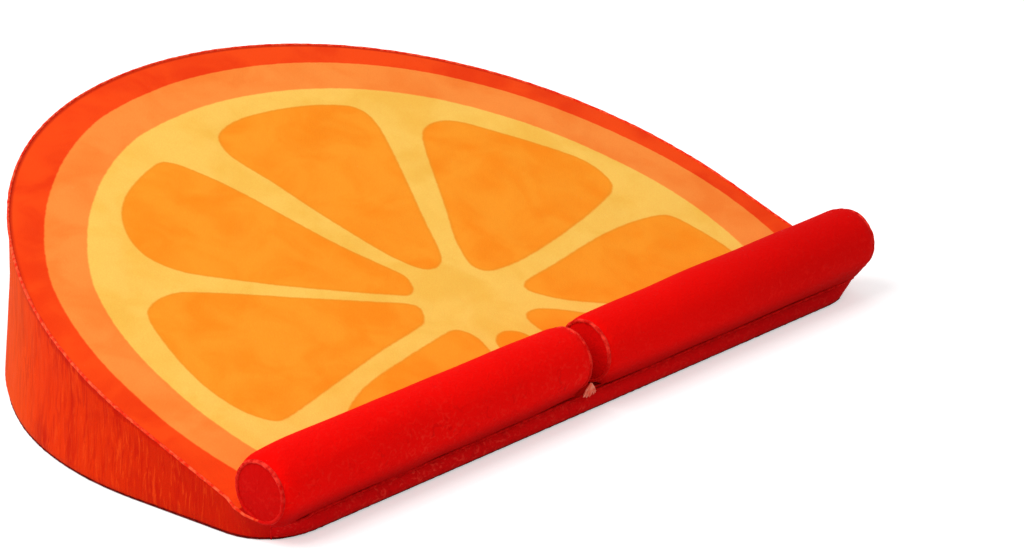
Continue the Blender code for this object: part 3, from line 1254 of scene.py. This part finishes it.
def shape_roll(shell, outer_x, inner_x):
    """Narrows the ends, domes the discs, gathers the cloth and presses the roll flat below."""
    middle_x = (outer_x + inner_x) / 2
    half_length = abs(outer_x - inner_x) / 2

    def roll_place(x, y, z):
        across, up = y - roll_axis_y, z - roll_axis_z
        reach = math.hypot(across, up)
        angle = math.atan2(up, across)
        outward = math.copysign(1, x - middle_x)
        from_end = half_length - abs(x - middle_x)
        from_inner = abs(x - inner_x)
        pull = inner_pull if from_inner < half_length else outer_pull
        around = Vector((math.cos(angle), math.sin(angle), x / gather_stray_length))
        stray = gather_stray * noise.noise(around * gather_stray_share)
        gather = 0.5 + 0.5 * math.cos(gathers * angle + stray)
        if from_end > hair:
            bent = max(0, 1 - from_end / end_run)
            narrow = pull * (1 - math.sqrt(1 - bent ** 2))
            fold = gather * gather_at(from_end)
            swing = roll_ripple * noise.noise(Vector((x, y, z)) / roll_ripple_length)
            narrow += inner_slack * max(0, 1 - from_inner / inner_slack_run) ** 2
            from_hem = (angle - hem_angle) / hem_spread
            drawn = hem_reach * math.exp(-from_hem ** 2) * (1 - bent ** 2)
            reach += swing * min(1, from_end / end_run) + drawn - narrow - fold
        else:
            share = reach / roll_radius
            fold = gather * gather_at(roll_radius - reach)
            x += outward * (disc_dome * (1 - share ** 2) - fold)
            slack = inner_slack if from_inner < half_length else 0
            reach *= 1 - (pull + slack) / roll_radius
        y = roll_axis_y + reach * math.cos(angle)
        z = roll_axis_z + reach * math.sin(angle) - sag_at(x, roll_axis_y)
        sunk = max(0, seat_gap - slope_gap(x, y, z))
        return x, y - sunk * math.sin(slope), z + sunk * math.cos(slope)

    reshape(shell, roll_place)


def make_roll_half(side_name, side):
    outer_x, inner_x = end_planes(side_name, side)
    shell = make_roll_shell(outer_x, inner_x)
    names = [f"{side_name}_{part}" for part in ("cover", "outer_end", "inner_end")]

    def part_of(face):
        if abs(face.normal.x) < level_normal:
            return 0
        return 1 if face.normal.x * side > 0 else 2

    mark_parts(shell, names, part_of)
    shape_roll(shell, outer_x, inner_x)
    pin_seams(shell, lambda place: slope_gap(*place) < seat_gap + hair)
    stuffing = make_filling(shell, side_name + "_stuffing", False)
    dress(stuffing, fibre)
    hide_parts(side_name + "_roll_filling")
    swell(shell, roll_pressure, roll_swell)
    pieces = cut_apart(shell, names)
    nodes = ("_roll_cover", "_roll_outer_disc", "_roll_inner_disc")
    finishes = (roll_velour, disc_velour_painted_shade, gap_velour)
    for piece, node, finish in zip(pieces, nodes, finishes):
        hem(piece, edge_tuck, 1)
        dress(piece, finish)
        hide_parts(side_name + node)
    for number, part in ((1, "outer"), (2, "inner")):
        name = f"{side_name}_{part}_ridge"
        panels = (0, number)
        ridge = make_bead(shell, name, ridge_radii[part], panels, ridge_unevenness_share)
        dress(ridge, roll_thread)
        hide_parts(f"{side_name}_roll_{part}_seam")
    make_hem_stitches(side_name)
    bpy.data.objects.remove(shell)


stitch_length = 3.2 * mm
stitch_sides = 10
rings_per_stitch = 6
stitch_waist_share = 0.6


def make_hem_stitches(side_name):
    """Row of stitching in the crease between the roll and the wedge's front edge."""
    low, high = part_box(side_name + "_roll_stitching")
    middle = (low + high) / 2
    length = high.x - low.x
    count = round(length / stitch_length)
    rows = rings_per_stitch * count
    row = lying_cylinder(stitch_sides, (high.z - low.z) / 2, length, middle, rows)
    end()

    def stitch_place(x, y, z):
        swollen = abs(math.sin(math.pi * (x - low.x) / length * count))
        full = stitch_waist_share + (1 - stitch_waist_share) * swollen
        return x, middle.y + (y - middle.y) * full, middle.z + (z - middle.z) * full

    reshape(row, stitch_place)
    name_only(row, side_name + "_hem_stitches")
    smooth(row)
    dress(row, dark_thread)
    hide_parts(side_name + "_roll_stitching")


# Tack of thread and loose pile at the foot of the gap

tack_top = Vector((0.7 * mm, front_y - 3.5 * mm, slope_height(front_y) + 6.2 * mm))
tack_foot = Vector((-1.1 * mm, front_y - 4.2 * mm, slope_height(front_y) + 1.6 * mm))
tack_width = 8.2 * mm
tack_rise = 0.8 * mm
tack_depth = 0.9 * mm
strand_count = 64
strand_radius = 0.2 * mm
strand_bow = 0.5 * mm
strand_sides = 6
strand_rings = 6

# The strands are strewn by noise that is read along a line, once for each way they stray
stray_start = Vector((0, 0.3, 0.1))
stray_step = Vector((0.71, 0, 0))
sideways = Vector((9, 0, 0))
in_depth = Vector((0, 9, 0))
root_spread = 4


def make_strand(start, finish, bow):
    """One tapering, slightly bowed strand of thread from its root to its loose end."""
    run = finish - start
    bpy.ops.mesh.primitive_cone_add(
        vertices=strand_sides, radius1=strand_radius, radius2=strand_radius / 2, depth=run.length
    )
    strand = bpy.context.object
    begin(strand)
    pick("EDGE", lambda e: e.calc_length() > run.length / 2)
    cut_rows(strand_rings)
    end()
    turn = run.to_track_quat("Z", "Y")

    def strand_place(x, y, z):
        bowed = Vector((x, y + bow * math.sin(math.pi * (z / run.length + 0.5)), z))
        return (start + finish) / 2 + turn @ bowed

    reshape(strand, strand_place)
    return strand


def make_tack():
    """Tuft of thread ends and pulled-up pile, fanned out from the end of the left half's seam."""
    made = []
    for k in range(strand_count):
        share = k / (strand_count - 1) - 0.5
        stray = stray_start + k * stray_step
        swing = Vector((noise.noise(stray), noise.noise(stray + sideways), 0))
        depth = noise.noise(stray + in_depth)
        root = tack_top + swing * strand_radius * root_spread
        across = Vector((share * tack_width, depth * tack_depth, share * tack_rise))
        tip = tack_foot + across + swing * tack_depth
        tip.z += tack_depth * (2 * share) ** 2 + 2 * swing.y * strand_bow
        made.append(make_strand(root, tip, strand_bow * (depth + math.copysign(share, depth))))
    deselect_all()
    for strand in made:
        strand.select_set(True)
    bpy.context.view_layer.objects.active = made[0]
    bpy.ops.object.join()
    tack = name_only(made[0], "gap_tack")
    smooth(tack)
    dress(tack, pale_thread)


make_wedge()
make_roll_half("left", -1)
make_roll_half("right", 1)
make_tack()


# Camera, at the photograph's viewing angle

camera_azimuth = -47.089
camera_elevation = 20.98
camera_roll = -0.848
camera_distance = 2.1401
camera_target = Vector((0.00195, -0.08835, 0.0518))
sensor_width = 36.0
image_width = 1024
focal_pixels = 5000
farthest_sight = 20


def make_camera():
    azimuth, elevation, roll = map(math.radians, (camera_azimuth, camera_elevation, camera_roll))
    back = Vector((
        math.sin(azimuth) * math.cos(elevation),
        -math.cos(azimuth) * math.cos(elevation),
        math.sin(elevation),
    ))
    right = Vector((math.cos(azimuth), math.sin(azimuth), 0))
    up = back.cross(right)
    turned_right = right * math.cos(roll) + up * math.sin(roll)
    turned_up = up * math.cos(roll) - right * math.sin(roll)
    lens = bpy.data.cameras.new("camera")
    lens.sensor_width = sensor_width
    lens.lens = sensor_width * focal_pixels / image_width
    lens.clip_end = farthest_sight
    camera = bpy.data.objects.new("camera", lens)
    bpy.context.scene.collection.objects.link(camera)
    turn = Matrix((turned_right, turned_up, back)).transposed().to_4x4()
    camera.matrix_world = Matrix.Translation(camera_target + back * camera_distance) @ turn
    bpy.context.scene.camera = camera


make_camera()


# Studio: a pale floor, a big soft lamp from the upper left and an even white surround

floor_reach = 6
floor_drop = 0.1 * mm
floor_shade = (0.82, 0.82, 0.82, 1)
floor_roughness = 0.9
white = (1, 1, 1, 1)
lamp_place = Vector((-1.3, 0.35, 1.9))
lamp_size = 1.6
lamp_power = 34
surround_strength = 0.62
floor_glow = 0.45


def make_floor():
    bpy.ops.mesh.primitive_plane_add(size=floor_reach, location=(0, 0, -floor_drop))
    floor = name_only(bpy.context.object, "floor")
    finish = Finish("floor")
    rays = finish.add("LightPath").outputs
    seen_rays = finish.math("MAXIMUM", rays["Is Camera Ray"], rays["Is Glossy Ray"])
    seen_rays = finish.math("MAXIMUM", seen_rays, rays["Is Transmission Ray"])
    values = {
        "Base Color": floor_shade,
        "Roughness": floor_roughness,
        "Specular IOR Level": 0,
        "Emission Color": white,
        "Emission Strength": finish.math("MULTIPLY", seen_rays, floor_glow),
    }
    finish.set(values)
    floor.data.materials.append(finish.material)


def make_lamp():
    lamp = bpy.data.lights.new("softbox", "AREA")
    lamp.size = lamp_size
    lamp.energy = lamp_power
    holder = bpy.data.objects.new("softbox", lamp)
    holder.location = lamp_place
    holder.rotation_euler = (-lamp_place).to_track_quat("-Z", "Y").to_euler()
    bpy.context.scene.collection.objects.link(holder)


def make_surround():
    world = bpy.data.worlds.new("studio")
    world.use_nodes = True
    tree = world.node_tree
    ground = tree.nodes["Background"]
    ground.inputs["Color"].default_value = white
    rays = tree.nodes.new("ShaderNodeLightPath").outputs
    either = tree.nodes.new("ShaderNodeMath")
    either.operation = "MAXIMUM"
    tree.links.new(rays["Is Camera Ray"], either.inputs[0])
    tree.links.new(rays["Is Transmission Ray"], either.inputs[1])
    strength = tree.nodes.new("ShaderNodeMapRange")
    strength.inputs["To Min"].default_value = surround_strength
    strength.inputs["To Max"].default_value = 1
    tree.links.new(either.outputs[0], strength.inputs["Value"])
    tree.links.new(strength.outputs["Result"], ground.inputs["Strength"])
    bpy.context.scene.world = world


make_floor()
make_lamp()
make_surround()
bpy.context.scene.view_settings.view_transform = "Standard"
